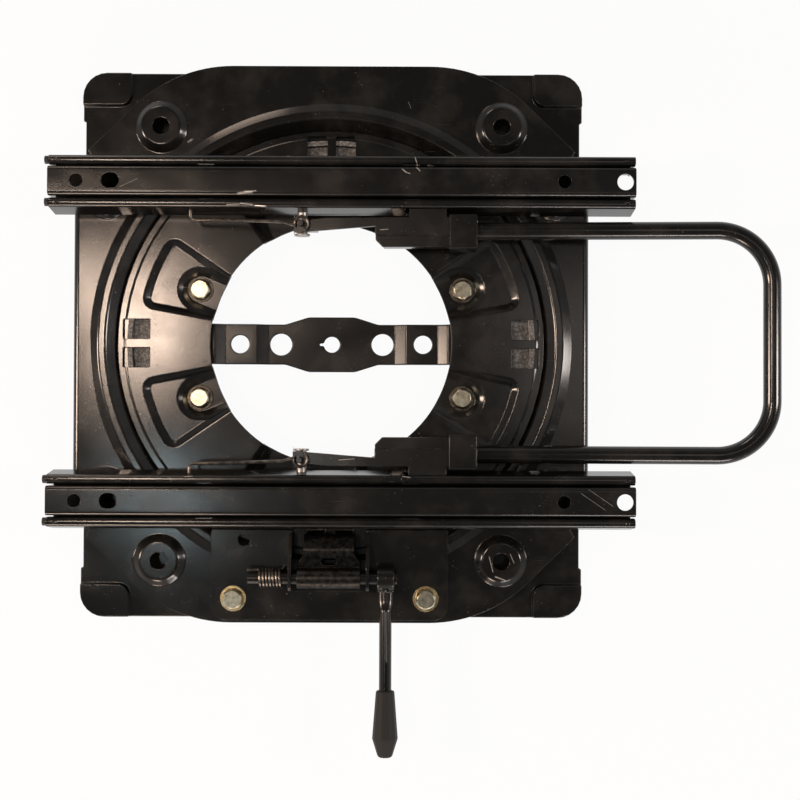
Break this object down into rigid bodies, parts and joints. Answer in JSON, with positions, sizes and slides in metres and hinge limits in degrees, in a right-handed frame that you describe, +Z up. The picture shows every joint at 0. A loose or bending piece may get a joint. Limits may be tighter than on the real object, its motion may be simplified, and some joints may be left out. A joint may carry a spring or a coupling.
{
  "type": "swivel seat base",
  "caption": "Turning seat base of pressed steel with a fixed lower plate, a swivel plate with a sprung latch, and two locking seat slides joined by a loop handle.",
  "frame": {"origin": "on the swivel axis, at the mounting plane under the fixed plate", "axes": "+Z up along the swivel axis; +X forwards along the slides to the loop handle; +Y to the left, away from the swivel latch"},
  "size_m": [0.5778, 0.5541, 0.0584],
  "materials": {
    "black_paint": "semi-gloss black paint on pressed steel, scuffed on the edges",
    "satin_paint": "satin black paint on small steel pieces, rubbed bare on the edges",
    "rail_paint": "semi-gloss black paint on rolled steel, with fine scratches and drag marks",
    "handle_paint": "smooth semi-gloss black powder coat on a steel bar",
    "yellow_zinc": "yellow passivated zinc plating, slightly iridescent",
    "pin_steel": "plain steel, dulled",
    "latch_steel": "dark phosphated steel, bright where the teeth rub",
    "spring_steel": "drawn spring wire, lightly oiled",
    "ball_steel": "ground and hardened steel balls",
    "glide_nylon": "dark glass-filled nylon",
    "plug_nylon": "dark moulded nylon",
    "grip_rubber": "matt black moulded rubber"
  },
  "bodies": {
    "base": {"lower_plate": "black_paint", "centre_strap": "satin_paint", "strap_rivets": "satin_paint", "retaining_ring": "black_paint", "ring_bolts": "yellow_zinc", "ring_nuts": "yellow_zinc", "lower_glide_ring": "glide_nylon", "upper_glide_ring": "glide_nylon"},
    "turntable": {"upper_plate": "black_paint", "left_lower_rail": "rail_paint", "right_lower_rail": "rail_paint", "rail_rivets": "satin_paint", "rail_end_plugs": "plug_nylon", "lever_pins": "pin_steel", "left_lever_spring": "spring_steel", "right_lever_spring": "spring_steel", "latch_plate": "black_paint", "latch_bracket": "black_paint", "latch_bolts": "yellow_zinc", "latch_nuts": "yellow_zinc", "latch_spring": "spring_steel"},
    "carriage": {"left_upper_rail": "rail_paint", "right_upper_rail": "rail_paint"},
    "cages": {"ball_cages": "glide_nylon", "rail_balls": "ball_steel"},
    "handle": {"left_lock_lever": "satin_paint", "right_lock_lever": "satin_paint", "handle_clips": "black_paint", "loop_handle": "handle_paint"},
    "latch": {"latch_shaft": "satin_paint", "latch_pawl": "latch_steel", "lever_collar": "satin_paint", "lever_rod": "satin_paint", "lever_grip": "grip_rubber"}
  },
  "joints": [
    {"name": "swivel", "type": "hinge", "parent": "base", "child": "turntable", "pos_m": [0, 0, 0], "axis": [0, 0, 1], "continuous": true},
    {"name": "seat_slide", "type": "slide", "parent": "turntable", "child": "carriage", "axis": [1, 0, 0], "range_m": [-0.096, 0.096]},
    {"name": "cage_slide", "type": "slide", "parent": "turntable", "child": "cages", "axis": [1, 0, 0], "range_m": [-0.048, 0.048]},
    {"name": "latch_pivot", "type": "hinge", "parent": "turntable", "child": "latch", "pos_m": [0, -0.187, 0.038], "axis": [1, 0, 0], "range_deg": [-12, 0]},
    {"name": "handle_pivot", "type": "hinge", "parent": "turntable", "child": "handle", "pos_m": [-0.022, 0, 0.0373], "axis": [0, -1, 0], "range_deg": [-3, 0]}
  ],
  "couplings": [
    {"joint": "cage_slide", "follows": "seat_slide", "ratio": 0.5}
  ]
}
